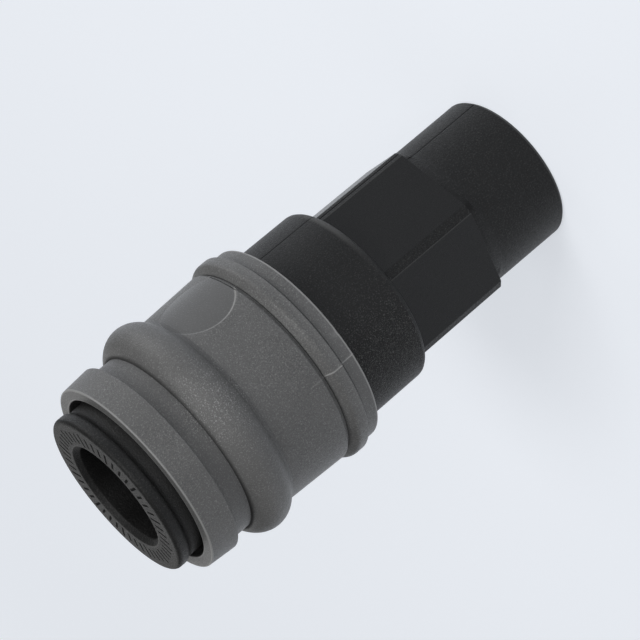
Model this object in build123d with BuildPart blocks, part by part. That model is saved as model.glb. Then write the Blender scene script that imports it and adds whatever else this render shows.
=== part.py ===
"""Plastic quick disconnect coupling: a ball-lock socket with a shut-off valve and a pipe-thread tail.

The coupling stands on its thread end. Z runs up its axis towards the nose, the origin is the centre of
the thread end face, and -Y is the side with the smooth round pad on the sleeve. Sizes are in millimetres.

A plug goes into the barrel at the nose. The wide front of the bore guides its collar and the narrower
stretch behind guides its tip. Six steel balls in the barrel's wall drop into the plug's groove, and a land
inside the sleeve holds them there. Drawing the sleeve back frees the balls, and its spring returns it.
Behind the bore the plug's nozzle passes a rubber seal and pushes a sprung valve open.
"""

import os
from math import cos, radians, sin, sqrt, tan

from build123d import *

os.makedirs("parts", exist_ok=True)

# ------------------------------------------------------------------------------------------------
# Clearances
# ------------------------------------------------------------------------------------------------
slide_gap = 0.15        # radial, between the sleeve and what it slides on
seat_gap = 0.05         # between pieces that are fitted together and stay put
stop_gap = 0.3          # along the axis, between the sleeve and its stop under the nose
ball_gap = 0.03         # between a ball and the wall of its hole
stem_gap = 0.1          # radial, between the valve's stem and its guide

# ------------------------------------------------------------------------------------------------
# Rear body: round tail with the pipe thread, hexagon, and round shoulder that runs into the sleeve
# ------------------------------------------------------------------------------------------------
tail_length = 11.5
tail_end_radius = 9.12
tail_root_radius = 9.05
hex_length = 12.25
hex_apothem = 9.3               # axis to flat, half the spanner size
hex_corner_apothem = 10.4       # axis to the narrow flat that blunts each corner
shoulder_length = 12.5
shoulder_radius = 11.18
body_edge = 0.4                 # rounding of the shoulder's and the tail's edges

port_radius = 5.72              # minor radius of the pipe thread
port_depth = 13.0
port_chamfer = 1.1
passage_radius = 4.9
body_socket_depth = 8.1         # takes the rear of the barrel
guide_pocket_depth = 2.0        # takes the valve guide, below the barrel's socket

# ------------------------------------------------------------------------------------------------
# Barrel: nose, plug bore, ball holes, and the spigot that screws into the rear body
# ------------------------------------------------------------------------------------------------
barrel_reach = 22.35            # rear body's front face to the nose face
bore_radius = 6.1
bore_step = 0.2                 # bore is narrower by this much from the balls inwards
bore_step_lead = 0.05           # step lies this far in front of the ball holes
bore_depth = 11.45
bore_chamfer = 0.35
bore_cone_length = 1.0
throat_radius = 4.3             # passes the plug's nozzle
throat_length = 0.8
pocket_wall = 1.7               # wall round the seal and the valve
neck_length = 5.15
neck_step = 1.65                # neck stands this far out from the barrel
nose_rim = 0.2                  # nose rim stands this far out from the neck
nose_rim_length = 1.6
nose_edge = 0.6
collar_step = 0.8               # collar that seats on the rear body
collar_length = 1.0

# ------------------------------------------------------------------------------------------------
# Locking balls
# ------------------------------------------------------------------------------------------------
ball_count = 6
ball_radius = 1.5875
ball_depth = 9.35               # nose face to the circle of balls
ball_reach = 1.0                # how far a seated ball stands into the bore
ball_relief = 0.25              # a freed ball lies this far outside the bore
ball_flush = 0.025              # a seated ball lies this far below the barrel's outside
ball_hole_taper = 15.0          # half angle of the hole, in degrees
sleeve_travel = 4.5

# ------------------------------------------------------------------------------------------------
# Sleeve
# ------------------------------------------------------------------------------------------------
nose_stand_out = 2.85           # nose face to the sleeve's front
lip_gap = 0.66                  # open ring between the neck and the sleeve's lip
lip_wall = 1.39
lip_flare = 0.28                # front band widens by this much to the rear
lip_edge = 0.3
front_band_length = 3.45
waist_drop = 0.78               # step down behind the front band
ring_setback = 8.6              # sleeve's front to the middle of the grip ring
ring_radius = 2.75              # section of the grip ring
ring_centre_wall = 0.68         # chamber wall under the ring's section centre, taken inwards
ring_root_fillet = 1.0
waist_fillet = 0.3
skirt_wall = 0.78               # wall of the main band at its front
skirt_flare = 0.34              # main band widens by this much to the rear
skirt_groove_depth = 0.25
skirt_groove_width = 0.35
rear_band_height = 0.64         # bead above the main band
rear_band_length = 2.1
rear_band_rise = 0.75
tail_band_length = 1.85
tail_band_drop = 0.48
sleeve_length = 23.15
land_length = 3.2
land_lead = 0.1                 # land begins this far in front of the ball circle
pad_radius = 4.3
pad_depth = 0.12
pad_centre_setback = 15.1       # sleeve's front to the middle of the round pad
pad_turn = -2.4                 # degrees, where the free-turning sleeve has stopped

# ------------------------------------------------------------------------------------------------
# Springs, seals and valve
# ------------------------------------------------------------------------------------------------
sleeve_spring_wire = 0.9
sleeve_spring_turns = 4.5
valve_spring_wire = 0.7
valve_spring_turns = 5.5
valve_spring_radius = 3.6

seal_length = 3.5
seal_lip_radius = 4.1
seal_mouth_radius = 4.8
seal_lip_length = 0.8

cage_wall = 0.85
cage_orifice_radius = 4.5
cage_orifice_length = 1.2

guide_thickness = 1.6
guide_hub_length = 3.0
guide_hub_wall = 1.1
guide_rim_wall = 1.35
guide_spoke_count = 3
guide_spoke_width = 1.4

valve_nose_radius = 4.2
valve_nose_reach = 0.8          # into the cage's orifice, beyond the seat
valve_nose_chamfer = 0.3
valve_flange_radius = 4.9
valve_flange_length = 1.2
valve_pilot_length = 1.0
valve_stem_radius = 1.2
valve_stem_tail = 1.0           # stem stands this far out of the guide's hub
valve_ring_section = 0.6
valve_ring_radius = 4.45
valve_ring_gap = 0.05           # between the ring and the cage's seat

body_ring_section = 0.66
body_ring_squeeze = 0.08        # room left along the axis for the body ring

# ------------------------------------------------------------------------------------------------
# Levels up the axis and sizes that follow
# ------------------------------------------------------------------------------------------------
hex_top = tail_length + hex_length
body_front = hex_top + shoulder_length
nose_face = body_front + barrel_reach
body_socket_floor = body_front - body_socket_depth
guide_seat = body_socket_floor - guide_pocket_depth
barrel_rear = body_socket_floor + 2 * body_ring_section + body_ring_squeeze

ball_bore_radius = bore_radius - bore_step
ball_circle_radius = ball_bore_radius - ball_reach + ball_radius
ball_travel = ball_reach + ball_relief
ball_level = nose_face - ball_depth
ball_hole_slope = tan(radians(ball_hole_taper))
ball_hole_radius = (ball_radius + ball_gap) / cos(radians(ball_hole_taper))     # at the seated ball's centre
bore_step_level = ball_level + ball_hole_radius + bore_step_lead
barrel_radius = ball_circle_radius + ball_radius + ball_flush
neck_radius = barrel_radius + neck_step
nose_radius = neck_radius + nose_rim
collar_radius = barrel_radius + collar_step
pocket_radius = barrel_radius - pocket_wall
neck_rear = nose_face - neck_length
throat_top = nose_face - bore_depth - bore_cone_length
pocket_top = throat_top - throat_length

sleeve_front = nose_face - nose_stand_out
sleeve_rear = sleeve_front - sleeve_length
ramp_slope = ball_travel / sleeve_travel
land_radius = barrel_radius + slide_gap
land_top = ball_level + land_lead
land_bottom = land_top - land_length
ramp_top = neck_rear - stop_gap
ramp_top_radius = land_radius + (ramp_top - land_top) * ramp_slope
lip_inner_radius = neck_radius + lip_gap
skirt_inner_radius = shoulder_radius + slide_gap

inner_radius = pocket_radius - seat_gap     # outside of what is stacked in the barrel's pocket
seal_rear = pocket_top - seal_length
guide_top = guide_seat + guide_thickness
cage_inner_radius = inner_radius - cage_wall
cage_seat_top = seal_rear - cage_orifice_length
cage_seat_length = cage_inner_radius - cage_orifice_radius
valve_ring_level = (
    cage_seat_top
    - sqrt(2) * (valve_ring_section + valve_ring_gap)
    + cage_orifice_radius
    - valve_ring_radius
)

# ------------------------------------------------------------------------------------------------
# Rear body
# ------------------------------------------------------------------------------------------------
with BuildPart() as rear_body:
    with BuildSketch(Plane.XZ) as tail_section:
        with BuildLine():
            Polyline(
                (0, 0),
                (tail_end_radius, 0),
                (tail_root_radius, tail_length),
                (tail_root_radius, hex_top),
                (shoulder_radius, hex_top),
                (shoulder_radius, body_front),
                (0, body_front),
                close=True,
            )
        make_face()
        outer_corners = tail_section.vertices().group_by(Axis.X)[-1]
        tail_corner = tail_section.vertices().sort_by_distance((tail_end_radius, 0))[0]
        fillet(outer_corners + [tail_corner], radius=body_edge)
    revolve(axis=Axis.Z)
    with BuildSketch(Plane.XY.offset(tail_length)):
        RegularPolygon(hex_apothem, 6, major_radius=False, rotation=30)
        RegularPolygon(hex_corner_apothem, 6, major_radius=False, mode=Mode.INTERSECT)
    extrude(amount=hex_length)
    with BuildSketch(Plane.XZ):
        with BuildLine():
            Polyline(
                (0, 0),
                (port_radius + port_chamfer, 0),
                (port_radius, port_chamfer),
                (port_radius, port_depth),
                (passage_radius, port_depth),
                (passage_radius, guide_seat),
                (pocket_radius, guide_seat),
                (pocket_radius, body_socket_floor),
                (barrel_radius + seat_gap, body_socket_floor),
                (barrel_radius + seat_gap, body_front),
                (0, body_front),
                close=True,
            )
        make_face()
    revolve(axis=Axis.Z, mode=Mode.SUBTRACT)
rear_body.part.label = "rear_body"
export_step(rear_body.part, "parts/rear_body.step")

# ------------------------------------------------------------------------------------------------
# Barrel, with a tapered hole for each ball
# ------------------------------------------------------------------------------------------------
ball_hole_inside = ball_bore_radius - ball_radius       # hole's cutter starts inside the bore
ball_hole_outside = neck_radius                         # and ends outside the barrel

with BuildPart() as barrel:
    with BuildSketch(Plane.XZ) as barrel_section:
        with BuildLine():
            Polyline(
                (bore_radius + bore_chamfer, nose_face),
                (nose_radius, nose_face),
                (nose_radius, nose_face - nose_rim_length),
                (neck_radius, nose_face - 2 * nose_rim_length),
                (neck_radius, neck_rear),
                (barrel_radius, neck_rear),
                (barrel_radius, body_front + collar_length),
                (collar_radius, body_front + collar_length),
                (collar_radius, body_front),
                (barrel_radius, body_front),
                (barrel_radius, barrel_rear),
                (pocket_radius, barrel_rear),
                (pocket_radius, pocket_top),
                (throat_radius, pocket_top),
                (throat_radius, throat_top),
                (ball_bore_radius, throat_top + bore_cone_length),
                (ball_bore_radius, bore_step_level),
                (bore_radius, bore_step_level),
                (bore_radius, nose_face - bore_chamfer),
                close=True,
            )
        make_face()
        nose_corner = barrel_section.vertices().sort_by_distance((nose_radius, nose_face))[0]
        fillet(nose_corner, radius=nose_edge)
    revolve(axis=Axis.Z)
    with Locations((0, 0, ball_level)):
        with PolarLocations(ball_hole_inside, ball_count):
            Cone(
                ball_hole_radius - (ball_circle_radius - ball_hole_inside) * ball_hole_slope,
                ball_hole_radius + (ball_hole_outside - ball_circle_radius) * ball_hole_slope,
                ball_hole_outside - ball_hole_inside,
                rotation=(0, 90, 0),
                align=(Align.CENTER, Align.CENTER, Align.MIN),
                mode=Mode.SUBTRACT,
            )
barrel.part.label = "barrel"
export_step(barrel.part, "parts/barrel.step")

# ------------------------------------------------------------------------------------------------
# Locking balls, one to each hole
# ------------------------------------------------------------------------------------------------
for index in range(ball_count):
    ball_angle = radians(index * 360 / ball_count)
    with BuildPart() as ball:
        with Locations(
            (ball_circle_radius * cos(ball_angle), ball_circle_radius * sin(ball_angle), ball_level)
        ):
            Sphere(ball_radius)
    ball.part.label = f"locking_ball_{index + 1}"
    export_step(ball.part, f"parts/{ball.part.label}.step")

# ------------------------------------------------------------------------------------------------
# Sleeve: lip, front band, waist, grip ring, main band and rear bead outside, land and ramp inside
# ------------------------------------------------------------------------------------------------
lip_radius = lip_inner_radius + lip_wall
band_radius = lip_radius + lip_flare
waist_radius = band_radius - waist_drop
band_rear = sleeve_front - front_band_length
ring_level = sleeve_front - ring_setback
ring_centre_radius = skirt_inner_radius - ring_centre_wall
skirt_radius = skirt_inner_radius + skirt_wall
skirt_end_radius = skirt_radius + skirt_flare
tail_band_top = sleeve_rear + tail_band_length
bead_front = tail_band_top + rear_band_length
bead_radius = skirt_end_radius + rear_band_height
groove_radius = skirt_end_radius - skirt_groove_depth
skirt_level = bead_front + skirt_groove_width
tail_band_radius = bead_radius - tail_band_drop
ring_front = ring_level + sqrt(ring_radius**2 - (waist_radius - ring_centre_radius) ** 2)
ring_rear = ring_level - sqrt(ring_radius**2 - (skirt_radius - ring_centre_radius) ** 2)

with BuildPart() as sleeve:
    with BuildSketch(Plane.XZ) as sleeve_section:
        with BuildLine():
            Polyline(
                (waist_radius, ring_front),
                (waist_radius, band_rear),
                (band_radius, band_rear),
                (lip_radius, sleeve_front),
                (lip_inner_radius, sleeve_front),
                (lip_inner_radius, ramp_top),
                (ramp_top_radius, ramp_top),
                (land_radius, land_top),
                (land_radius, land_bottom),
                (skirt_inner_radius, land_bottom),
                (skirt_inner_radius, sleeve_rear),
                (tail_band_radius, sleeve_rear),
                (tail_band_radius, tail_band_top),
                (bead_radius, tail_band_top),
                (bead_radius, bead_front - rear_band_rise),
                (groove_radius, bead_front),
                (groove_radius, bead_front + skirt_groove_width / 2),
                (skirt_end_radius, skirt_level),
                (skirt_radius, ring_rear),
            )
            ThreePointArc(
                (skirt_radius, ring_rear),
                (ring_centre_radius + ring_radius, ring_level),
                (waist_radius, ring_front),
            )
        make_face()
        for corner, rounding in (
            ((lip_radius, sleeve_front), lip_edge),
            ((bead_radius, bead_front - rear_band_rise), rear_band_rise),
            ((skirt_radius, ring_rear), ring_root_fillet),
            ((waist_radius, ring_front), waist_fillet),
        ):
            fillet(sleeve_section.vertices().sort_by_distance(corner)[0], radius=rounding)
    revolve(axis=Axis.Z)
    # the round pad is a shallow recess whose floor keeps the curve of the main band
    with BuildSketch(Plane.XZ.rotated((0, pad_turn, 0)).offset(bead_radius)):
        with Locations((0, sleeve_front - pad_centre_setback)):
            Circle(pad_radius)
    pad = extrude(amount=-bead_radius, mode=Mode.PRIVATE)
    band_level = Plane.XY.offset(skirt_level)
    band_length = ring_rear - skirt_level
    pad_band = Solid.make_cylinder(bead_radius, band_length, band_level)
    pad_floor = Solid.make_cone(
        skirt_end_radius - pad_depth, skirt_radius - pad_depth, band_length, band_level
    )
    add((pad_band - pad_floor) & pad, mode=Mode.SUBTRACT)
sleeve.part.label = "sleeve"
export_step(sleeve.part, "parts/sleeve.step")

# ------------------------------------------------------------------------------------------------
# Sleeve spring: between the rear body's front face and the back of the sleeve's land
# ------------------------------------------------------------------------------------------------
sleeve_spring_radius = (collar_radius + skirt_inner_radius) / 2
sleeve_spring_low = body_front + seat_gap
sleeve_spring_height = land_bottom - seat_gap - sleeve_spring_low
with BuildPart() as sleeve_spring:
    with BuildLine() as sleeve_coil:
        Helix(
            sleeve_spring_height / sleeve_spring_turns,
            sleeve_spring_height,
            sleeve_spring_radius,
            center=(0, 0, sleeve_spring_low),
        )
    with BuildSketch(Plane(sleeve_coil.line @ 0, z_dir=sleeve_coil.line % 0)):
        Circle(sleeve_spring_wire / 2)
    sweep(path=sleeve_coil.line, is_frenet=True)
    with Locations((0, 0, sleeve_spring_low)):      # ground flat at both ends
        Cylinder(
            sleeve_spring_radius + sleeve_spring_wire,
            sleeve_spring_height,
            align=(Align.CENTER, Align.CENTER, Align.MIN),
            mode=Mode.INTERSECT,
        )
sleeve_spring.part.label = "sleeve_spring"
export_step(sleeve_spring.part, "parts/sleeve_spring.step")

# ------------------------------------------------------------------------------------------------
# Plug seal: rubber ring with an inner lip, in the barrel's pocket behind the throat
# ------------------------------------------------------------------------------------------------
seal_middle = pocket_top - seal_length / 2
with BuildPart() as plug_seal:
    with BuildSketch(Plane.XZ):
        with BuildLine():
            Polyline(
                (inner_radius, pocket_top),
                (seal_mouth_radius, pocket_top),
                (seal_lip_radius, seal_middle + seal_lip_length / 2),
                (seal_lip_radius, seal_middle - seal_lip_length / 2),
                (seal_mouth_radius, seal_rear),
                (inner_radius, seal_rear),
                close=True,
            )
        make_face()
    revolve(axis=Axis.Z)
plug_seal.part.label = "plug_seal"
export_step(plug_seal.part, "parts/plug_seal.step")

# ------------------------------------------------------------------------------------------------
# Valve cage: tube that holds the seal forward and has the valve's conical seat
# ------------------------------------------------------------------------------------------------
with BuildPart() as valve_cage:
    with BuildSketch(Plane.XZ):
        with BuildLine():
            Polyline(
                (inner_radius, seal_rear),
                (cage_orifice_radius, seal_rear),
                (cage_orifice_radius, cage_seat_top),
                (cage_inner_radius, cage_seat_top - cage_seat_length),
                (cage_inner_radius, guide_top),
                (inner_radius, guide_top),
                close=True,
            )
        make_face()
    revolve(axis=Axis.Z)
valve_cage.part.label = "valve_cage"
export_step(valve_cage.part, "parts/valve_cage.step")

# ------------------------------------------------------------------------------------------------
# Valve guide: rim, spokes and a long hub for the valve's stem
# ------------------------------------------------------------------------------------------------
guide_bore_radius = valve_stem_radius + stem_gap
guide_hub_radius = guide_bore_radius + guide_hub_wall
with BuildPart() as valve_guide:
    with BuildSketch(Plane.XY.offset(guide_seat)):
        Circle(inner_radius)
        Circle(inner_radius - guide_rim_wall, mode=Mode.SUBTRACT)
        with PolarLocations(0, guide_spoke_count):
            Rectangle(
                inner_radius - guide_rim_wall / 2,
                guide_spoke_width,
                align=(Align.MIN, Align.CENTER),
            )
    extrude(amount=guide_thickness)
    with BuildSketch(Plane.XY.offset(guide_top)):
        Circle(guide_hub_radius)
    extrude(amount=-guide_hub_length)
    with BuildSketch(Plane.XY.offset(guide_top)):
        Circle(guide_bore_radius)
    extrude(amount=-guide_hub_length, mode=Mode.SUBTRACT)
valve_guide.part.label = "valve_guide"
export_step(valve_guide.part, "parts/valve_guide.step")

# ------------------------------------------------------------------------------------------------
# Valve: nose that the plug pushes, groove for its ring, flange, spring pilot and stem
# ------------------------------------------------------------------------------------------------
valve_nose_top = cage_seat_top + valve_nose_reach
valve_groove_radius = valve_ring_radius - valve_ring_section - seat_gap / 2
valve_groove_top = valve_ring_level + valve_ring_section + seat_gap / 2
valve_groove_bottom = valve_ring_level - valve_ring_section - seat_gap / 2
valve_flange_rear = valve_groove_bottom - valve_flange_length
valve_pilot_radius = valve_spring_radius - valve_spring_wire / 2 - slide_gap
valve_stem_end = guide_top - guide_hub_length - valve_stem_tail
with BuildPart() as valve:
    with BuildSketch(Plane.XZ):
        with BuildLine():
            Polyline(
                (0, valve_nose_top),
                (valve_nose_radius - valve_nose_chamfer, valve_nose_top),
                (valve_nose_radius, valve_nose_top - valve_nose_chamfer),
                (valve_nose_radius, valve_groove_top),
                (valve_groove_radius, valve_groove_top),
                (valve_groove_radius, valve_groove_bottom),
                (valve_flange_radius, valve_groove_bottom),
                (valve_flange_radius, valve_flange_rear),
                (valve_pilot_radius, valve_flange_rear),
                (valve_pilot_radius, valve_flange_rear - valve_pilot_length),
                (valve_stem_radius, valve_flange_rear - valve_pilot_length),
                (valve_stem_radius, valve_stem_end),
                (0, valve_stem_end),
                close=True,
            )
        make_face()
    revolve(axis=Axis.Z)
valve.part.label = "valve"
export_step(valve.part, "parts/valve.step")

# ------------------------------------------------------------------------------------------------
# Rubber rings: one round the valve, one between the barrel's end and the rear body
# ------------------------------------------------------------------------------------------------
with BuildPart() as valve_ring:
    with Locations((0, 0, valve_ring_level)):
        Torus(valve_ring_radius, valve_ring_section)
valve_ring.part.label = "valve_ring"
export_step(valve_ring.part, "parts/valve_ring.step")

with BuildPart() as body_ring:
    with Locations((0, 0, (body_socket_floor + barrel_rear) / 2)):
        Torus((pocket_radius + barrel_radius) / 2, body_ring_section)
body_ring.part.label = "body_ring"
export_step(body_ring.part, "parts/body_ring.step")

# ------------------------------------------------------------------------------------------------
# Valve spring: between the guide's spokes and the valve's flange
# ------------------------------------------------------------------------------------------------
valve_spring_low = guide_top + seat_gap
valve_spring_height = valve_flange_rear - seat_gap - valve_spring_low
with BuildPart() as valve_spring:
    with BuildLine() as valve_coil:
        Helix(
            valve_spring_height / valve_spring_turns,
            valve_spring_height,
            valve_spring_radius,
            center=(0, 0, valve_spring_low),
        )
    with BuildSketch(Plane(valve_coil.line @ 0, z_dir=valve_coil.line % 0)):
        Circle(valve_spring_wire / 2)
    sweep(path=valve_coil.line, is_frenet=True)
    with Locations((0, 0, valve_spring_low)):       # ground flat at both ends
        Cylinder(
            valve_spring_radius + valve_spring_wire,
            valve_spring_height,
            align=(Align.CENTER, Align.CENTER, Align.MIN),
            mode=Mode.INTERSECT,
        )
valve_spring.part.label = "valve_spring"
export_step(valve_spring.part, "parts/valve_spring.step")
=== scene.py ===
"""Plastic quick disconnect coupling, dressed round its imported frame.

The coupling stands on its thread end with its nose up, and Z is its axis. The sections follow the order in
which it goes together: rear body, valve and seals, barrel, balls, springs and sleeve, then the floor, the
lights and the camera. Sizes are in millimetres and angles in degrees, and a mesh is made in metres.
"""

import bmesh
import bpy
import numpy as np
from mathutils import Matrix, Vector


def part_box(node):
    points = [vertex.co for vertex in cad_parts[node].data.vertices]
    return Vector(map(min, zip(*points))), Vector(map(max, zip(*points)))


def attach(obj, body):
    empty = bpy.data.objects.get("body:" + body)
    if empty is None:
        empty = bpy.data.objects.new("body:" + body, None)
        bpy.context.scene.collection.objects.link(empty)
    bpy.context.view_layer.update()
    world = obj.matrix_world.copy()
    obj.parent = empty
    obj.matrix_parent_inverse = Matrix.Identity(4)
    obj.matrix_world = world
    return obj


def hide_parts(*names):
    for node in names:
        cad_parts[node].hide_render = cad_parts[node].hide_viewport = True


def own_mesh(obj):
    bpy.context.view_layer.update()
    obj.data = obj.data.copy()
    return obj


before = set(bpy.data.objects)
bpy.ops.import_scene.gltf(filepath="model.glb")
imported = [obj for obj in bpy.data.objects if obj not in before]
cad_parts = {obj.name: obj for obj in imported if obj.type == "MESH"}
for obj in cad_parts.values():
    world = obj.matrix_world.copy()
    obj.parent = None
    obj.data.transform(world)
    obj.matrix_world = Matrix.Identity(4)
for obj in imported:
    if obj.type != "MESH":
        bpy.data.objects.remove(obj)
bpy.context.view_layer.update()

mm = 0.001

# ------------------------------------------------------------
# Rear body: one black glass-filled moulding, round at the tail, hexagonal for a spanner and round
# again where it enters the sleeve. The pipe thread is moulded in its end, and the mould's halves
# part along two corners of the hexagon.
# ------------------------------------------------------------
body_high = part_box("rear_body")[1]
body_front = body_high.z / mm
shoulder_radius = body_high.x / mm
tail_length = 11.5
tail_end_radius = 9.12
tail_root_radius = 9.05
hex_top = 23.75
hex_apothem = 9.3               # axis to flat
hex_corner_apothem = 10.4       # axis to the narrow flat that blunts each corner
body_edge = 0.4
socket_radius = 8.15
socket_floor = 28.15
pocket_radius = 6.4
pocket_floor = 26.15
passage_radius = 4.9
port_radius = 5.72              # thread's crests
port_depth = 13.0
port_chamfer = 1.1
thread_pitch = 1.337
thread_depth = 0.8
thread_run_out = 0.3            # plain wall between the thread and the port's floor
parting_width = 0.14
parting_depth = 0.06
corner_half_turn = 3.17         # degrees from a corner's middle to each edge of its narrow flat
glint_angle = -98               # where the shoulder's rear edge has a painted highlight
coarse_glint_angle = -187             # where the shoulder's grain is coarsest and its painted glints strongest
shoulder_spread = 26            # degrees over which both fade


def rounded_outline(corners, steps=4, support=0.05):
    """An outline whose corners are rows of radius, height, rounding and any further values.

    A rounding starts and ends on its two runs, at its radius times the tangent of half the turn from the
    corner. Between those points it is a circle's arc, written as the mean of start, corner and end with the
    weights (1 - u)^2, 2 u (1 - u) cos(half the turn) and u^2. One more point on each run, a little way
    beyond the arc, keeps the shading of the run flat. Returns the points with the corner's further values.
    The last of them is a painted highlight, or painted shade where it is below 0, which stays on the arc
    unless it is a faint one, below 0.3.
    """
    corners = np.asarray(corners, float)
    points, rounding, rest = corners[:, :2], corners[:, 2], corners[:, 3:]
    back = np.roll(points, 1, 0) - points
    ahead = np.roll(points, -1, 0) - points
    run_back = np.linalg.norm(back, axis=1)
    run_ahead = np.linalg.norm(ahead, axis=1)
    back, ahead = back / run_back[:, None], ahead / run_ahead[:, None]
    half_turn = (np.pi - np.arccos(np.clip((back * ahead).sum(1), -1, 1))) / 2
    reach = rounding * np.tan(half_turn)
    start = points + back * reach[:, None]
    end = points + ahead * reach[:, None]
    u = np.linspace(0, 1, steps + 1)
    weights = np.stack(
        [np.tile((1 - u) ** 2, (len(points), 1)), np.outer(np.cos(half_turn), 2 * u * (1 - u)),
         np.tile(u ** 2, (len(points), 1))]
    )
    arcs = sum(w[..., None] * p[:, None] for w, p in zip(weights, (start, points, end)))
    arcs /= weights.sum(0)[..., None]
    gap_back = np.minimum(support, (run_back - reach) / 4)[:, None]
    gap_ahead = np.minimum(support, (run_ahead - reach) / 4)[:, None]
    rows = np.concatenate(
        [(start + back * gap_back)[:, None], arcs, (end + ahead * gap_ahead)[:, None]], axis=1
    )
    rest = np.repeat(rest[:, None], rows.shape[1], axis=1)
    rest[:, [0, -1], -1] *= np.abs(rest[:, [0, -1], -1]) < 0.3
    return np.column_stack([rows.reshape(-1, 2), rest.reshape(-1, rest.shape[-1])])


def open_outline(corners, end_rows=0, steps=4, support=0.05):
    """An outline that isn't closed. Its first and last corners only aim the runs that end there, and give it
    this many of their own rows."""
    cut = steps + 3 - end_rows
    return rounded_outline(corners, steps, support)[cut:-cut]


def bell(distance, width):
    """1 where the distance is 0, and exp(-(distance / width)^2) beyond."""
    return np.exp(-((distance / width) ** 2))


def turn_from(angles, centre):
    """The angles from a centre, between -180 and 180."""
    return (angles - centre + 180) % 360 - 180


def dense_angles(even, centres, half_width, count):
    """Angles all round at an even spacing, with a closer set across each of the given places."""
    close = np.add.outer(np.asarray(centres, float), np.linspace(-half_width, half_width, count)).ravel()
    return np.unique(np.round(np.concatenate([np.linspace(-180, 180, even, endpoint=False),
                                              (close + 180) % 360 - 180]), 4))


def turned(radius, height, angles):
    """A surface of revolution: x = r cos a, y = r sin a, z = h, for rows of r and h and columns of a."""
    turn = np.radians(angles)
    radius = np.broadcast_to(np.asarray(radius, float).reshape(len(height), -1), (len(height), len(turn)))
    height = np.broadcast_to(np.asarray(height, float).reshape(len(height), -1), radius.shape)
    return np.stack([radius * np.cos(turn), radius * np.sin(turn), height], axis=-1)


def surface_piece(name, *patches):
    """A mesh from patches of (points, closed over its rows, closed round its columns, painted light and
    shade).

    Each patch is a grid of points, and its faces join every four neighbours. Patches that meet share their
    edge once equal points are merged, and the faces are then turned to point outwards. The painted light and
    shade, one value for each row or for each point, goes to the attribute painted_highlight_and_shade: 1 is
    a painted highlight on an edge, and -1 is painted shade in a crease. A patch may end with one more value,
    which goes to the attribute grain_and_glint_smoothing.
    """
    points, faces, first = [], [], 0
    levels = {"painted_highlight_and_shade": [], "grain_and_glint_smoothing": []}
    for grid, rows_closed, columns_closed, *values in patches:
        rows, columns = grid.shape[:2]
        index = first + np.arange(rows * columns).reshape(rows, columns)
        if rows_closed:
            index = np.concatenate([index, index[:1]])
        if columns_closed:
            index = np.concatenate([index, index[:, :1]], axis=1)
        corners = (index[:-1, :-1], index[:-1, 1:], index[1:, 1:], index[1:, :-1])
        faces.append(np.stack(corners, axis=-1).reshape(-1, 4))
        points.append(grid.reshape(-1, 3) * mm)
        for level, value in zip(levels.values(), (*values, 0)):
            value = np.asarray(value, float)
            value = value if value.ndim == 2 else value.reshape(-1, 1)
            level.append(np.broadcast_to(value, (rows, columns)).ravel())
        first += rows * columns
    points, faces = np.concatenate(points), np.concatenate(faces)
    mesh = bpy.data.meshes.new(name)
    mesh.vertices.add(len(points))
    mesh.vertices.foreach_set("co", points.astype(np.float32).ravel())
    mesh.loops.add(faces.size)
    mesh.loops.foreach_set("vertex_index", faces.astype(np.int32).ravel())
    mesh.polygons.add(len(faces))
    mesh.polygons.foreach_set("loop_start", np.arange(0, faces.size, 4, dtype=np.int32))
    mesh.update(calc_edges=True)
    for key, level in levels.items():
        level = np.concatenate(level).astype(np.float32)
        mesh.attributes.new(key, "FLOAT", "POINT").data.foreach_set("value", level)
    work = bmesh.new()
    work.from_mesh(mesh)
    bmesh.ops.remove_doubles(work, verts=work.verts, dist=0.0005 * mm)
    bmesh.ops.recalc_face_normals(work, faces=work.faces)
    work.to_mesh(mesh)
    work.free()
    mesh.polygons.foreach_set("use_smooth", np.ones(len(mesh.polygons), bool))
    piece = bpy.data.objects.new(name, mesh)
    bpy.context.scene.collection.objects.link(piece)
    return piece


def new_material(name, roughness, specular=0.5, metallic=0.0):
    """A material with one Principled shader, and the node tree, its shader and its Object coordinates."""
    material = bpy.data.materials.new(name)
    material.use_nodes = True
    tree = material.node_tree
    shader = tree.nodes["Principled BSDF"]
    shader.inputs["Roughness"].default_value = roughness
    shader.inputs["Specular IOR Level"].default_value = specular
    shader.inputs["Metallic"].default_value = metallic
    place = tree.nodes.new("ShaderNodeTexCoord").outputs["Object"]
    return material, tree, shader, place


def noise(tree, place, size, detail=2.0, roughness=0.5):
    """Noise whose features are about this many millimetres across."""
    node = tree.nodes.new("ShaderNodeTexNoise")
    node.inputs["Scale"].default_value = 1 / (size * mm)
    node.inputs["Detail"].default_value = detail
    node.inputs["Roughness"].default_value = roughness
    tree.links.new(place, node.inputs["Vector"])
    return node.outputs["Fac"]


def spread(tree, value, low, high, from_low=0.3, from_high=0.7):
    """The value stretched from one range to another, and held at its ends."""
    node = tree.nodes.new("ShaderNodeMapRange")
    node.inputs["From Min"].default_value = from_low
    node.inputs["From Max"].default_value = from_high
    node.inputs["To Min"].default_value = low
    node.inputs["To Max"].default_value = high
    tree.links.new(value, node.inputs["Value"])
    return node.outputs["Result"]


def mixed(tree, share, colour_a, colour_b):
    """A colour between two others, each a plain colour or another socket."""
    node = tree.nodes.new("ShaderNodeMix")
    node.data_type = "RGBA"
    tree.links.new(share, node.inputs["Factor"])
    for colour, socket in ((colour_a, node.inputs["A"]), (colour_b, node.inputs["B"])):
        if isinstance(colour, bpy.types.NodeSocket):
            tree.links.new(colour, socket)
        else:
            socket.default_value = (*colour, 1)
    return node.outputs["Result"]


def raised(tree, height, depth, strength, under=None):
    """A bump of this depth in millimetres, over any other bump."""
    node = tree.nodes.new("ShaderNodeBump")
    node.inputs["Distance"].default_value = depth * mm
    node.inputs["Strength"].default_value = strength
    tree.links.new(height, node.inputs["Height"])
    if under is not None:
        tree.links.new(under, node.inputs["Normal"])
    return node.outputs["Normal"]


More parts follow.
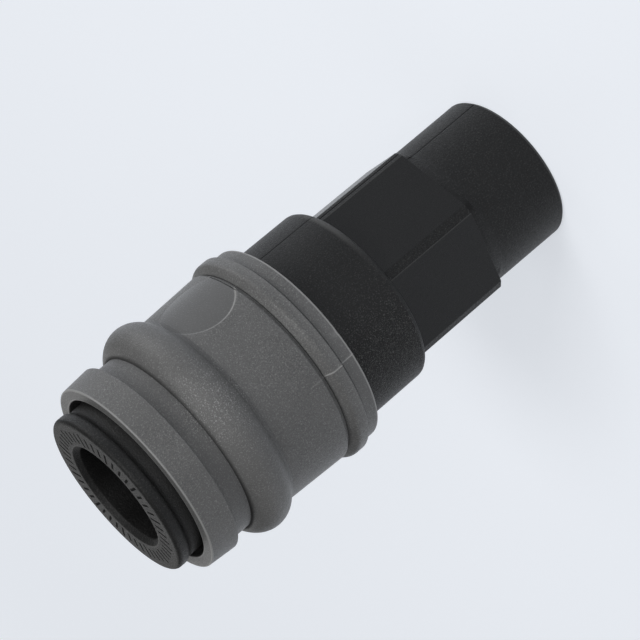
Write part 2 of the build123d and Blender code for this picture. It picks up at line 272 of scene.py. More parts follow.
def worked(tree, operation, *values):
    """The result of a Math node on sockets and plain numbers."""
    node = tree.nodes.new("ShaderNodeMath")
    node.operation = operation
    for value, socket in zip(values, node.inputs):
        if isinstance(value, bpy.types.NodeSocket):
            tree.links.new(value, socket)
        else:
            socket.default_value = value
    return node.outputs["Value"]


def attribute(tree, name):
    """The value of a mesh's attribute."""
    node = tree.nodes.new("ShaderNodeAttribute")
    node.attribute_name = name
    return node.outputs["Fac"]


def grained_plastic(name, dark, light, edge, grain_size, grain_depth, gloss, specular, points, marks=None):
    """Moulded plastic with the spark-eroded grain of its mould.

    Fine noise makes the grain in the bump, the roughness and a little of the colour, and a coarse noise is
    the slow change of tone over the piece. A finer noise, cut off high, scatters painted glints of the given
    strength in the edge colour. The attribute painted_highlight_and_shade paints highlights in the edge
    colour where it is above 0 and painted shade where it is below 0, and the shaded creases are fully matt.
    The attribute grain_and_glint_smoothing takes the grain, the painted glints and half of the roughness
    away, or makes the grain coarser and the painted glints stronger where it is below 0. Marks, if given,
    are sunk and carry painted shade where their value is 1.
    """
    crease_shade = 0.25             # of the dark colour
    mark_depth = 0.15
    material, tree, shader, place = new_material(name, sum(gloss) / 2, specular)
    grain = noise(tree, place, grain_size, 3, 0.6)
    tone = noise(tree, place, grain_size * 40, 2)
    rough_part = worked(tree, "SUBTRACT", 1.0, attribute(tree, "grain_and_glint_smoothing"))
    middle = tuple((d + l) / 2 for d, l in zip(dark, light))
    slow = mixed(tree, spread(tree, tone, 0, 1), dark, light)
    speck = worked(tree, "MULTIPLY", spread(tree, grain, 0, 1, 0.35, 0.65), rough_part)
    colour = mixed(tree, speck, mixed(tree, rough_part, middle, slow), light)
    # painted glints: sparse bright specks in the edge colour
    point = spread(tree, noise(tree, place, grain_size * 0.7, 1), 0, points, 0.55, 0.72)
    colour = mixed(tree, worked(tree, "MULTIPLY", point, rough_part), colour, edge)
    highlight_or_shade = attribute(tree, "painted_highlight_and_shade")
    # painted highlights in the edge colour, and painted shade in creases and sunk marks
    colour = mixed(tree, spread(tree, highlight_or_shade, 0, 1, 0, 1), colour, edge)
    shade_share = spread(tree, highlight_or_shade, 1, 0, -1, 0)
    bump = raised(tree, worked(tree, "MULTIPLY", grain, rough_part), grain_depth, 0.8)
    if marks is not None:
        inside = marks(tree, place)
        bump = raised(tree, worked(tree, "SUBTRACT", 1.0, inside), mark_depth, 1, bump)
        shade_share = worked(tree, "MAXIMUM", shade_share, inside)
    colour = mixed(tree, shade_share, colour, tuple(crease_shade * d for d in dark))
    tree.links.new(colour, shader.inputs["Base Color"])
    matt = worked(tree, "MULTIPLY", spread(tree, grain, gloss[1], gloss[0]),
                  spread(tree, attribute(tree, "grain_and_glint_smoothing"), 1, 0.5, 0, 1))
    tree.links.new(worked(tree, "MAXIMUM", matt, shade_share), shader.inputs["Roughness"])
    tree.links.new(bump, shader.inputs["Normal"])
    return material


def hexagon_reach(angles):
    """Distance from the axis to the blunted hexagon's outline: the least of apothem / cos(a - normal) over
    its six flats and six corner flats, taken as a power mean that rounds the edges a little."""
    normals = np.arange(0, 360, 30)
    apothems = np.where(normals % 60 == 0, hex_apothem, hex_corner_apothem)
    facing = np.cos(np.radians(np.subtract.outer(normals, angles)))
    least_facing = 0.5              # a side turned further away is never the nearest
    far_away = 99.0
    reach = np.where(facing > least_facing, apothems[:, None] / np.maximum(facing, least_facing), far_away)
    sharpness = 2500
    least = reach.min(0)
    return least * ((least / reach) ** sharpness).sum(0) ** (-1 / sharpness)


hex_edges = np.add.outer(np.arange(30, 360, 60), [-corner_half_turn, corner_half_turn]).ravel()
body_angles = np.unique(np.concatenate([
    dense_angles(even=200, centres=hex_edges, half_width=0.9, count=9),
    dense_angles(even=4, centres=[-90, 90], half_width=0.7, count=9)]))
body_outline = rounded_outline([
    # radius, height, rounding, 1 on the hexagon, painted highlight (+) or shade (-)
    (tail_end_radius - 0.25, 0, 0.1, 0, 0),
    (tail_end_radius, 0.3, 0.12, 0, 0.7),
    (tail_root_radius, tail_length - 1.8, 4, 0, 0),
    (tail_root_radius + 0.08, tail_length - 1.1, 0, 0, 0),
    (tail_root_radius + 0.12, tail_length - 0.8, 0, 0, 0),
    (tail_root_radius + 0.16, tail_length - 0.5, 0, 0, 0),
    (hex_apothem - 0.05, tail_length, 0.02, 0, 0),
    (hex_apothem, tail_length, 0.03, 1, 0),
    (hex_apothem, hex_top, 0.1, 1, 0),
    (shoulder_radius, hex_top, 0.6, 0, 0),
    (shoulder_radius, hex_top + 1.1, 0, 0, 0),
    (shoulder_radius, body_front, body_edge, 0, 0),
    (socket_radius, body_front, 0.05, 0, 0),
    (socket_radius, socket_floor, 0.05, 0, 0),
    (pocket_radius, socket_floor, 0.05, 0, 0),
    (pocket_radius, pocket_floor, 0.05, 0, 0),
    (passage_radius, pocket_floor, 0.1, 0, 0),
    (passage_radius, port_depth, 0.05, 0, 0),
    (port_radius, port_depth, 0.05, 0, 0),
    (port_radius, port_chamfer, 0.05, 0, 0),
    (port_radius + port_chamfer, 0, 0.1, 0, 0),
])

# rows for the thread, ten to a turn, take the place of the port's chamfer and fill its plain wall
on_port_wall = body_outline[:, 0] < port_radius + 0.001
thread_start = np.flatnonzero(on_port_wall & (body_outline[:, 1] > port_depth - 0.5)).max() + 1
thread_rows = np.arange(port_depth - thread_run_out, port_chamfer - 0.6, -thread_pitch / 10)
thread_fill = np.zeros((len(thread_rows), body_outline.shape[1]))
thread_fill[:, 0] = port_radius + np.maximum(port_chamfer - thread_rows, 0)
thread_fill[:, 1] = thread_rows
chamfer_rows = (body_outline[:, 0] >= port_radius - 0.001) & (body_outline[:, 0] < tail_root_radius - 2) & (
    np.abs(body_outline[:, 1] - port_chamfer) < 0.4)
body_outline = np.concatenate([body_outline[:thread_start], thread_fill, body_outline[thread_start:][
    ~chamfer_rows[thread_start:]]])
body_radius = body_outline[:, :1] + body_outline[:, 2:3] * (hexagon_reach(body_angles) - hex_apothem)

# the thread is a wave that climbs one pitch for each turn, cut no shallower than the chamfer
in_port = (body_outline[:, 0] < tail_root_radius - 1.5) & (body_outline[:, 1] < port_depth - 0.2)
wave = 0.5 - 0.5 * np.cos(2 * np.pi * (body_outline[:, 1:2] / thread_pitch - body_angles / 360))
fade = np.clip((port_depth - thread_run_out - body_outline[:, 1:2]) / (2 * thread_pitch), 0, 1)
cut = port_radius + thread_depth * wave * fade
body_radius = np.where(in_port[:, None], np.maximum(body_radius, cut), body_radius)

# the mould's halves meet at -Y and +Y in a fine groove down the outside
off_parting = np.abs(np.abs(body_angles) - 90) * np.radians(1) * body_radius
on_outside = (body_radius > tail_root_radius - 0.05) & (body_outline[:, 1:2] > 0.2)
groove = parting_depth * bell(off_parting, parting_width / 2)
body_radius = body_radius - np.where(on_outside, groove, 0)

# one long edge of each blunted corner and part of the shoulder's rear edge get a painted highlight, the
# narrow flats are rough and get painted shade, painted shade lies in the parting groove, and a painted
# shadow lies on the tail close behind each corner
on_hexagon = body_outline[:, 2:3]
off_edge = turn_from(body_angles[:, None], hex_edges[::2])
edge_highlight = 0.6 * bell(np.abs(off_edge).min(1), 0.35) * on_hexagon
corner_flat = ((off_edge > 0.4) & (off_edge < 5.9)).any(1) * on_hexagon
behind_corner = bell(np.abs(off_edge - corner_half_turn).min(1), 9) * (
    np.abs(body_outline[:, 1:2] - tail_length + 0.5) < 0.7) * on_outside * (on_hexagon == 0)
shoulder_rear = (np.abs(body_outline[:, 1:2] - hex_top) < 0.7) & (on_hexagon == 0) & on_outside
shoulder_highlight = 0.9 * bell(body_angles - glint_angle, shoulder_spread) * shoulder_rear
body_light_and_shade = body_outline[:, 3:4] + edge_highlight - 0.35 * corner_flat - 0.65 * behind_corner + shoulder_highlight
body_light_and_shade = body_light_and_shade - np.where(on_outside, 0.7 * groove / parting_depth, 0)

# the spanner's flats are smoother than the rest, with fewer painted glints, while the mould's grain, and
# with it the painted glints, is coarser on one side of the shoulder, on the narrow flats and close behind
# them
smooth_flats = 0.75 * on_hexagon * (1 - corner_flat)
on_shoulder = (body_outline[:, 1:2] > hex_top + 0.5) & on_outside
coarse_grain_and_glints = 5 * bell(turn_from(body_angles, coarse_glint_angle), shoulder_spread) * on_shoulder
coarse_grain_and_glints = coarse_grain_and_glints + 1.5 * behind_corner + 1.2 * corner_flat
rear_body = surface_piece(
    "rear_body_moulding",
    (turned(body_radius, body_outline[:, 1], body_angles), True, True, body_light_and_shade,
     smooth_flats - coarse_grain_and_glints),
)
# edge is the colour of the painted highlights and painted glints
black_look = {
    "dark": (0.0052, 0.0052, 0.0052), "light": (0.0102, 0.0102, 0.0102), "edge": (0.09, 0.09, 0.089),
    "grain_size": 0.2, "grain_depth": 0.08, "gloss": (0.38, 0.58), "specular": 0.28, "points": 0.3,
}
rear_body.data.materials.append(grained_plastic("black_plastic", **black_look))
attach(rear_body, "root")
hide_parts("rear_body")

# ------------------------------------------------------------
# Valve parts: a sprung poppet of smooth black plastic with its ring, the cage that it shuts against
# and the guide for its stem. The poppet is moulded in one piece and slides down when a plug's
# nozzle pushes it.
# ------------------------------------------------------------
valve_low, valve_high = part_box("valve")
cage_low, cage_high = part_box("valve_cage")
ring_low, ring_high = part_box("valve_ring")
valve_top = valve_high.z / mm
valve_end = valve_low.z / mm
valve_flange_radius = valve_high.x / mm
ring_level = (ring_low.z + ring_high.z) / 2 / mm
ring_section = (ring_high.z - ring_low.z) / 2 / mm
ring_radius = ring_high.x / mm - ring_section
groove_half = ring_section + 0.025
groove_radius = ring_radius - ring_section - 0.025
flange_rear = ring_level - groove_half - 1.2
pilot_radius = 3.1
stem_radius = 1.2
valve_nose_radius = 4.2
valve_angles = np.linspace(0, 360, 96, endpoint=False)
axis_reach = 0.0004             # merges into one point on the axis

# the last value of each corner is its painted edge highlight
valve_outline = rounded_outline([
    (axis_reach, valve_top, 0, 0),
    (valve_nose_radius, valve_top, 0.3, 0.3),
    (valve_nose_radius, ring_level + groove_half, 0.05, 0),
    (groove_radius, ring_level + groove_half, 0.05, 0),
    (groove_radius, ring_level - groove_half, 0.05, 0),
    (valve_flange_radius, ring_level - groove_half, 0.12, 0.3),
    (valve_flange_radius, flange_rear, 0.12, 0.3),
    (pilot_radius, flange_rear, 0.05, 0),
    (pilot_radius, flange_rear - 1, 0.15, 0),
    (stem_radius, flange_rear - 1, 0.1, 0),
    (stem_radius, valve_end, 0.2, 0.2),
    (axis_reach, valve_end, 0, 0),
], support=0.1)
valve = surface_piece(
    "valve_poppet_moulding",
    (turned(valve_outline[:, 0], valve_outline[:, 1], valve_angles), True, True, valve_outline[:, 2]),
)
# edge is the colour of the painted edge highlights
smooth_plastic = grained_plastic(
    "valve_plastic", dark=(0.016, 0.016, 0.017), light=(0.022, 0.022, 0.023), edge=(0.05, 0.05, 0.052),
    grain_size=0.1, grain_depth=0.004, gloss=(0.35, 0.45), specular=0.3, points=0,
)
valve.data.materials.append(smooth_plastic)
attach(valve, "valve_poppet")
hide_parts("valve")

cage_radius = cage_high.x / mm
cage_inner_radius = cage_radius - 0.85
orifice_radius = 4.5
seat_top = cage_high.z / mm - 1.2
# the last value of each corner is its painted edge highlight
cage_outline = rounded_outline([
    (cage_radius, cage_high.z / mm, 0.1, 0),
    (orifice_radius, cage_high.z / mm, 0.1, 0.2),
    (orifice_radius, seat_top, 0.05, 0),
    (cage_inner_radius, seat_top - (cage_inner_radius - orifice_radius), 0.1, 0),
    (cage_inner_radius, cage_low.z / mm, 0.1, 0),
    (cage_radius, cage_low.z / mm, 0.1, 0),
])
cage = surface_piece(
    "valve_cage_moulding",
    (turned(cage_outline[:, 0], cage_outline[:, 1], valve_angles), True, True, cage_outline[:, 2]),
)
cage.data.materials.append(smooth_plastic)
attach(cage, "root")
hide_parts("valve_cage")

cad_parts["valve_guide"].data.materials.clear()
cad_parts["valve_guide"].data.materials.append(smooth_plastic)

# ------------------------------------------------------------
# Seals: black nitrile rubber, moulded. The plug seal's lip grips the plug's nozzle, one ring rides
# in the poppet's groove, and one lies between the barrel's end and the rear body.
# ------------------------------------------------------------
seal_low, seal_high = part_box("plug_seal")
body_ring_low, body_ring_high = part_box("body_ring")
seal_radius = seal_high.x / mm
seal_middle = (seal_low.z + seal_high.z) / 2 / mm
seal_mouth_radius = 4.8
seal_lip_radius = 4.1
seal_lip_half = 0.4


def rubber():
    """Nitrile rubber: nearly black, dull, with a faint bloom and a fine skin."""
    material, tree, shader, place = new_material("nitrile_rubber", 0.55)
    bloom = noise(tree, place, 1.2, 4)
    skin = noise(tree, place, 0.08, 2)
    tree.links.new(mixed(tree, spread(tree, bloom, 0, 1), (0.010, 0.010, 0.010), (0.018, 0.018, 0.018)),
                   shader.inputs["Base Color"])
    tree.links.new(spread(tree, bloom, 0.48, 0.66), shader.inputs["Roughness"])
    tree.links.new(raised(tree, skin, 0.006, 0.5), shader.inputs["Normal"])
    return material


nitrile = rubber()
seal_outline = rounded_outline([
    (seal_radius, seal_high.z / mm, 0.15, 0),
    (seal_mouth_radius, seal_high.z / mm, 0.2, 0),
    (seal_lip_radius, seal_middle + seal_lip_half, 0.25, 0),
    (seal_lip_radius, seal_middle - seal_lip_half, 0.25, 0),
    (seal_mouth_radius, seal_low.z / mm, 0.2, 0),
    (seal_radius, seal_low.z / mm, 0.15, 0),
])
plug_seal = surface_piece(
    "plug_seal_rubber",
    (turned(seal_outline[:, 0], seal_outline[:, 1], valve_angles), True, True, 0),
)
plug_seal.data.materials.append(nitrile)
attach(plug_seal, "root")
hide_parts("plug_seal")


def rubber_ring(name, low, high):
    """A torus that fills a node's box: r = R + s cos b, z = h + s sin b round the section's angle b."""
    section = (high.z - low.z) / 2 / mm
    around = np.linspace(0, 2 * np.pi, 24, endpoint=False)
    radius = high.x / mm - section + section * np.cos(around)
    height = (high.z + low.z) / 2 / mm + section * np.sin(around)
    ring = surface_piece(name, (turned(radius, height, valve_angles), True, True, 0))
    ring.data.materials.append(nitrile)
    return ring


valve_ring = rubber_ring("valve_ring_rubber", ring_low, ring_high)
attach(valve_ring, "valve_poppet")
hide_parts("valve_ring")
body_ring = rubber_ring("body_ring_rubber", body_ring_low, body_ring_high)
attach(body_ring, "root")
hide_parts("body_ring")

# ------------------------------------------------------------
# Barrel: the black moulding that the plug goes into. Its nose stands out of the sleeve behind an
# open ring, its wall has six tapered holes for the balls, and its spigot screws into the rear body.
# The maker's ring of words on the nose face is left off, and plain index ticks stand in its place.
# ------------------------------------------------------------
barrel_low, barrel_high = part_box("barrel")
ball_low, ball_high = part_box("locking_ball_1")
nose_face = barrel_high.z / mm
nose_radius = barrel_high.x / mm
barrel_rear = barrel_low.z / mm
ball_count = 6
ball_radius = (ball_high.z - ball_low.z) / 2 / mm
ball_level = (ball_high.z + ball_low.z) / 2 / mm
ball_circle_radius = (ball_high.x + ball_low.x) / 2 / mm
barrel_radius = 8.1
neck_radius = 9.75
neck_rear = 53.45
nose_rim_length = 1.3
nose_edge = 0.5
neck_waist_radius = 9.64        # close behind the nose's rim
mouth_chamfer = 0.6
bore_radius = 6.1
ball_bore_radius = 5.9
bore_step_level = ball_level + 1.72
throat_radius = 4.3
throat_top = 46.15
bore_cone_length = 1.0
pocket_top = 45.35
collar_radius = 8.9
collar_length = 1.0
hole_radius = 1.6746            # at the seated ball's centre
hole_slope = np.tan(np.radians(15))
holes_low, holes_high = ball_level - 1.9, bore_step_level - 0.01
per_sector = 40                 # columns from one ball to the next
wall_rows = 20                  # rows of faces beside a ball's hole
tick_step = 2 * np.pi / 48
tick_circle_radius = 7.95       # middle of the index ticks
tick_half_length = 0.7
long_tick_half_length = 0.95

barrel_angles = np.linspace(-30, 330, ball_count * per_sector, endpoint=False)


def holed_wall(wall_radius, ball_angle):
    """One ball's share of a round wall, from the edge of its hole to the straight edges of the share.

    The share's outline runs round four sides in even steps, as arc length and height from the ball. A point
    of the patch lies part of the way, t, from the hole's edge in the same direction to that outline.
    """
    width = np.pi * wall_radius / ball_count
    across = np.linspace(-width, width, per_sector + 1)
    up = np.linspace(holes_low - ball_level, holes_high - ball_level, wall_rows + 1)
    outline_x = np.concatenate([
        across[:-1], np.full(wall_rows, width), across[:0:-1], np.full(wall_rows, -width)])
    outline_y = np.concatenate([np.full(per_sector, up[0]), up[:-1], np.full(per_sector, up[-1]), up[:0:-1]])
    way = np.arctan2(outline_y, outline_x)
    rim = hole_edge(way, wall_radius)
    t = np.array([0, 0.03, 0.1, 0.3, 0.6, 1])[:, None]
    x = (1 - t) * rim[0] + t * outline_x
    y = (1 - t) * rim[1] + t * outline_y
    turn = x / wall_radius + np.radians(ball_angle)
    return np.stack([wall_radius * np.cos(turn), wall_radius * np.sin(turn), ball_level + y], axis=-1)


def hole_edge(way, wall_radius):
    """Where the tapered hole meets a round wall, as arc length and height from the ball's line.

    The hole's radius grows with the distance h along that line, and h^2 + (radius cos way)^2 is the wall's
    radius squared; three rounds of putting each into the other settle both.
    """
    h = np.full_like(way, wall_radius)
    for _ in range(3):
        radius = hole_radius + (h - ball_circle_radius) * hole_slope
        h = np.sqrt(wall_radius ** 2 - (radius * np.cos(way)) ** 2)
    return wall_radius * np.arctan2(radius * np.cos(way), h), radius * np.sin(way)


# the last value of each corner: painted highlight on the neck and on the mouth's edge
barrel_outline = open_outline([
    (barrel_radius, holes_high, 0, 0),
    (barrel_radius, neck_rear, 0.1, 0),
    (neck_radius, neck_rear, 0.15, 0.25),
    (neck_waist_radius, nose_face - nose_rim_length - 0.5, 0.9, 0.12),
    (nose_radius, nose_face - nose_rim_length, 0.9, 0),
    (nose_radius, nose_face, nose_edge, 0),
    (bore_radius + mouth_chamfer, nose_face, 0.15, 0.6),
    (bore_radius, nose_face - mouth_chamfer, 0.2, 0),
    (bore_radius, bore_step_level, 0.03, 0),
    (ball_bore_radius, bore_step_level, 0.03, 0),
    (ball_bore_radius, holes_high, 0, 0),
], end_rows=1, steps=6)
barrel_outline[barrel_outline[:, 0] < bore_radius + 0.01, 2] = -0.45    # painted shade inside the bore
barrel_inside = open_outline([
    (ball_bore_radius, holes_low, 0, 0),
    (ball_bore_radius, throat_top + bore_cone_length, 0.05, 0),
    (throat_radius, throat_top, 0.05, 0),
    (throat_radius, pocket_top, 0.05, 0),
    (pocket_radius, pocket_top, 0.05, 0),
    (pocket_radius, barrel_rear, 0.1, 0),
    (barrel_radius, barrel_rear, 0.3, 0),
    (barrel_radius, body_front, 0.05, 0),
    (collar_radius, body_front, 0.05, 0),
    (collar_radius, body_front + collar_length, 0.1, 0),
    (barrel_radius, body_front + collar_length, 0.05, 0),
    (barrel_radius, holes_low, 0, 0),
], end_rows=1)
front_rows = np.concatenate([[(barrel_radius, holes_high, 0)], barrel_outline,
                             [(ball_bore_radius, holes_high, 0)]])
rear_rows = np.concatenate([[(ball_bore_radius, holes_low, 0)], barrel_inside,
                            [(barrel_radius, holes_low, 0)]])
barrel_patches = [
    (turned(front_rows[:, 0], front_rows[:, 1], barrel_angles), False, True, front_rows[:, 2]),
    (turned(rear_rows[:, 0], rear_rows[:, 1], barrel_angles), False, True, rear_rows[:, 2]),
]
for ball_angle in np.arange(ball_count) * 360 / ball_count:
    inner_wall = holed_wall(ball_bore_radius, ball_angle)
    outer_wall = holed_wall(barrel_radius, ball_angle)
    depth = np.linspace(0, 1, 5)[:, None, None]
    hole_wall = (1 - depth) * inner_wall[0] + depth * outer_wall[0]
    barrel_patches += [(wall, False, True, 0) for wall in (inner_wall, outer_wall, hole_wall)]
barrel = surface_piece("barrel_moulding", *barrel_patches)


def nose_ticks(tree, place):
    """Index ticks round the nose face, 1 inside a tick: radial marks a fixed angle apart, 0.3 mm wide, of
    which every fourth one is longer. Round the axis the distance to the nearest mark is the angle's distance
    to a whole number of steps, times the radius."""
    split = tree.nodes.new("ShaderNodeSeparateXYZ")
    tree.links.new(place, split.inputs["Vector"])
    x, y, z = split.outputs
    radius = worked(tree, "SQRT", worked(tree, "ADD", worked(tree, "MULTIPLY", x, x),
                                         worked(tree, "MULTIPLY", y, y)))
    steps = worked(tree, "DIVIDE", worked(tree, "ARCTAN2", y, x), tick_step)
    off_mark = worked(tree, "MULTIPLY", worked(tree, "PINGPONG", steps, 0.5), tick_step)
    on_width = spread(tree, worked(tree, "MULTIPLY", off_mark, radius), 1, 0, 0.11 * mm, 0.19 * mm)
    fourth = worked(tree, "LESS_THAN", worked(tree, "PINGPONG", worked(tree, "DIVIDE", steps, 4), 0.5), 0.12)
    half_length = spread(tree, fourth, tick_half_length * mm, long_tick_half_length * mm, 0, 1)
    off_middle = worked(tree, "ABSOLUTE", worked(tree, "SUBTRACT", radius, tick_circle_radius * mm))
    on_length = worked(tree, "LESS_THAN", off_middle, half_length)
    on_face = worked(tree, "GREATER_THAN", z, (nose_face - 0.1) * mm)
    return worked(tree, "MULTIPLY", worked(tree, "MULTIPLY", on_width, on_length), on_face)


# the ticks are sunk in the bump and carry painted shade
barrel.data.materials.append(grained_plastic("black_plastic_marked", **black_look, marks=nose_ticks))
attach(barrel, "root")
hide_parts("barrel")

# ------------------------------------------------------------
# Locking balls: six ground stainless balls, loose in the barrel's holes, which the sleeve's land
# presses into the plug's groove.
# ------------------------------------------------------------


def stainless(name, roughness, scratch_size, scratch_depth):
    """Bare stainless steel with a fine finish left by grinding or drawing."""
    material, tree, shader, place = new_material(name, roughness, metallic=1.0)
    finish = noise(tree, place, scratch_size, 3)
    tree.links.new(mixed(tree, spread(tree, finish, 0, 1), (0.52, 0.52, 0.53), (0.62, 0.62, 0.62)),
                   shader.inputs["Base Color"])
    tree.links.new(spread(tree, finish, roughness * 0.7, roughness * 1.4), shader.inputs["Roughness"])
    tree.links.new(raised(tree, finish, scratch_depth, 0.3), shader.inputs["Normal"])
    return material


ball_steel = stainless("ball_steel", 0.15, 0.3, 0.001)
ball_tilt = np.linspace(-90, 90, 33)
for index in range(ball_count):
    ball_turn = np.radians(360 / ball_count * index)
    parallel = np.maximum(ball_radius * np.cos(np.radians(ball_tilt)), axis_reach / 2)
    sphere = turned(parallel, ball_level + ball_radius * np.sin(np.radians(ball_tilt)),
                    np.linspace(0, 360, 48, endpoint=False))
    sphere[..., 0] += ball_circle_radius * np.cos(ball_turn)
    sphere[..., 1] += ball_circle_radius * np.sin(ball_turn)
    ball = surface_piece(f"locking_ball_steel_{index + 1}", (sphere, False, True, 0))
    ball.data.materials.append(ball_steel)
    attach(ball, f"ball_{index + 1}")
    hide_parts(f"locking_ball_{index + 1}")

# ------------------------------------------------------------
# Springs: stainless wire, wound to the right and ground flat at both ends. One stands round the
# barrel and pushes the sleeve forward, and one stands in the cage and shuts the poppet.
# ------------------------------------------------------------
spring_steel = stainless("spring_steel", 0.3, 0.12, 0.003)
section_steps = 16              # points round the wire
sleeve_clearance = 0.15         # between the shoulder and the sleeve's skirt


def wound_spring(name, low, high, wire, turns, mean_radius):
    """A wire along a helix. The helix is (R cos a, R sin a, climb a), and the wire's section turns round it
    in the plane of the outward normal and the normal that leans back by the helix's slope. Points past the
    two ends are held on them, which is how grinding flattens the last turns. The wire's low end is closed,
    and its high end, out of sight against its seat, is open."""
    a = np.linspace(0, 2 * np.pi * turns, int(turns * 72) + 1)[:, None]
    b = np.linspace(0, 2 * np.pi, section_steps, endpoint=False)[None]
    climb = (high - low) / (2 * np.pi * turns)
    slope = np.arctan2(climb, mean_radius)
    out = wire / 2 * np.cos(b)
    lean = wire / 2 * np.sin(b)
    x = (mean_radius + out) * np.cos(a) + lean * np.sin(slope) * np.sin(a)
    y = (mean_radius + out) * np.sin(a) - lean * np.sin(slope) * np.cos(a)
    z = np.clip(low + climb * a + lean * np.cos(slope), low, high)
    coil = np.stack([x, y, z], axis=-1)
    low_end = coil[:1].mean(1, keepdims=True).repeat(section_steps, axis=1)
    spring = surface_piece(name, (np.concatenate([low_end, coil]), False, True, 0))
    spring.data.materials.append(spring_steel)
    return spring


coil_low, coil_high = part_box("sleeve_spring")
sleeve_spring = wound_spring(
    "sleeve_spring_wire", coil_low.z / mm, coil_high.z / mm, wire=0.9, turns=4.5,
    mean_radius=(collar_radius + shoulder_radius + sleeve_clearance) / 2)
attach(sleeve_spring, "root")
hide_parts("sleeve_spring")
# the sleeve's travel of 4.5 mm shortens this coil, and the poppet's of 4 mm the next one
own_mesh(sleeve_spring)

valve_coil_low, valve_coil_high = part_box("valve_spring")
valve_spring = wound_spring(
    "valve_spring_wire", valve_coil_low.z / mm, valve_coil_high.z / mm, wire=0.7, turns=5.5, mean_radius=3.6)
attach(valve_spring, "root")
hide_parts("valve_spring")
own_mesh(valve_spring)

# ------------------------------------------------------------
# Sleeve: one grey moulding that slides back to free the plug. Outside it has a lip, a front band, a
# narrow waist, a round grip ring, a main band with one smooth round pad, and a bead at the rear
# with a line of flash left by the mould. The rest of it has the mould's spark-eroded grain.
# ------------------------------------------------------------
sleeve_low, sleeve_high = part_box("sleeve")
sleeve_front = sleeve_high.z / mm
sleeve_rear = sleeve_low.z / mm
lip_inner_radius = 10.41
lip_radius = 11.8
band_radius = 12.08
band_rear = sleeve_front - 3.45
waist_radius = 11.3
ring_level_z = sleeve_front - 8.6
grip_section = 2.75
grip_centre_radius = 10.65
skirt_radius = 12.11
skirt_end_radius = 12.45
tail_band_top = sleeve_rear + 1.85
bead_front = tail_band_top + 2.1
bead_radius = 13.09
bead_groove_radius = 12.15      # the groove in front of the bead
tail_band_radius = 12.61
skirt_level = bead_front + 0.35
land_radius = 8.25
land_top = ball_level + 0.1
land_bottom = land_top - 3.2
ramp_top = neck_rear - 0.3
ball_travel, sleeve_travel = 1.25, 4.5
ramp_top_radius = land_radius + (ramp_top - land_top) * ball_travel / sleeve_travel
skirt_inner_radius = 11.33
pad_radius = 4.3
pad_depth = 0.12
pad_wall = 0.16
pad_rim_width = 0.085
pad_level = sleeve_front - 15.1
pad_angle = -92.4
pad_half_turn = 22              # degrees beside the pad's middle that have closer columns
pad_arc_radius = 12.3           # the main band's where the pad is
flash_angle = -166.7
flash_height = 0.09
flash_width = 0.15
nick_angle = -153.7
nick_level = 32.75
nick_size = 0.22
nick_depth = 0.12
coarse_ring_glint_angle = -143        # where the grip ring's grain is coarsest and its painted glints strongest
coarse_ring_spread = 15

ring_rear = ring_level_z - np.sqrt(grip_section ** 2 - (skirt_radius - grip_centre_radius) ** 2)


def grip_ring(root_fillet, waist_fillet, steps):
    """The grip ring's arc with the fillets at its two roots, from the main band up to the waist.

    Each fillet is an arc that touches its band and the ring: its centre lies its own radius outside the
    band, and the ring's radius plus its own from the ring's centre. The three arcs are joined where they
    touch, which is on the line between two centres.
    """
    def fillet_centre(radius, band, side):
        rise = band + radius - grip_centre_radius
        reach = np.sqrt((grip_section + radius) ** 2 - rise ** 2)
        return np.array([band + radius, ring_level_z + side * reach])

    middle = np.array([grip_centre_radius, ring_level_z])
    rear_centre = fillet_centre(root_fillet, skirt_radius + 0.02, -1)
    front_centre = fillet_centre(waist_fillet, waist_radius, 1)
    rear_touch = np.arctan2(*(rear_centre - middle)[::-1])
    front_touch = np.arctan2(*(front_centre - middle)[::-1])

    def arc(centre, radius, start, stop, count):
        a = np.linspace(start, stop, count)
        return centre + radius * np.column_stack([np.cos(a), np.sin(a)])

    return np.concatenate([
        arc(rear_centre, root_fillet, -np.pi, rear_touch - np.pi, steps)[:-1],
        arc(middle, grip_section, rear_touch, front_touch, 8 * steps)[:-1],
        arc(front_centre, waist_fillet, front_touch + np.pi, np.pi, steps),
    ])


# painted shade lies in both of the ring's roots, darker in the one at the waist
fillet_steps = 8
ring_rows = grip_ring(root_fillet=1.0, waist_fillet=0.08, steps=fillet_steps)
ring_shade = np.zeros(len(ring_rows))
ring_shade[1:fillet_steps - 1] = -0.35
ring_shade[-fillet_steps - 6:-fillet_steps] = np.linspace(0, -0.8, 6)
ring_shade[-fillet_steps:-1] = -0.9
ring_shade[-1] = -0.25

# the sleeve's outline in four runs: the bead and the tail band, the main band, the ring, and the front band
# with the inside. Each outline's end corners only aim a run, at any level that lies on it.
skirt_inside_level, band_level, waist_level = 40, 44, 50
band_rows = np.linspace(skirt_level + 0.06, ring_rows[0, 1] - 0.02, 100)
band_slope = (skirt_radius - skirt_end_radius) / (ring_rear - skirt_level)
band_line = skirt_end_radius + band_slope * (band_rows - skirt_level)
# the last value of each corner: painted highlight on the rear edges, painted shade in the creases at the
# bead
rear_outline = open_outline([
    (skirt_inner_radius, skirt_inside_level, 0, 0),
    (skirt_inner_radius, sleeve_rear, 0.15, 0.6),
    (tail_band_radius, sleeve_rear, 0.15, 1.0),
    (tail_band_radius, tail_band_top - 0.45, 0.05, 0),
    (tail_band_radius, tail_band_top, 0.05, -1),
    (bead_radius, tail_band_top, 0.12, 0.1),
    (bead_radius, bead_front - 0.75, 0.75, 0),
    (bead_groove_radius, bead_front, 0.05, -0.8),
    (bead_groove_radius + 0.05, bead_front + 0.17, 0.05, 0),
    (skirt_end_radius, skirt_level, 0.1, 0),
    (skirt_radius, band_level, 0, 0),
], steps=5, support=0.12)
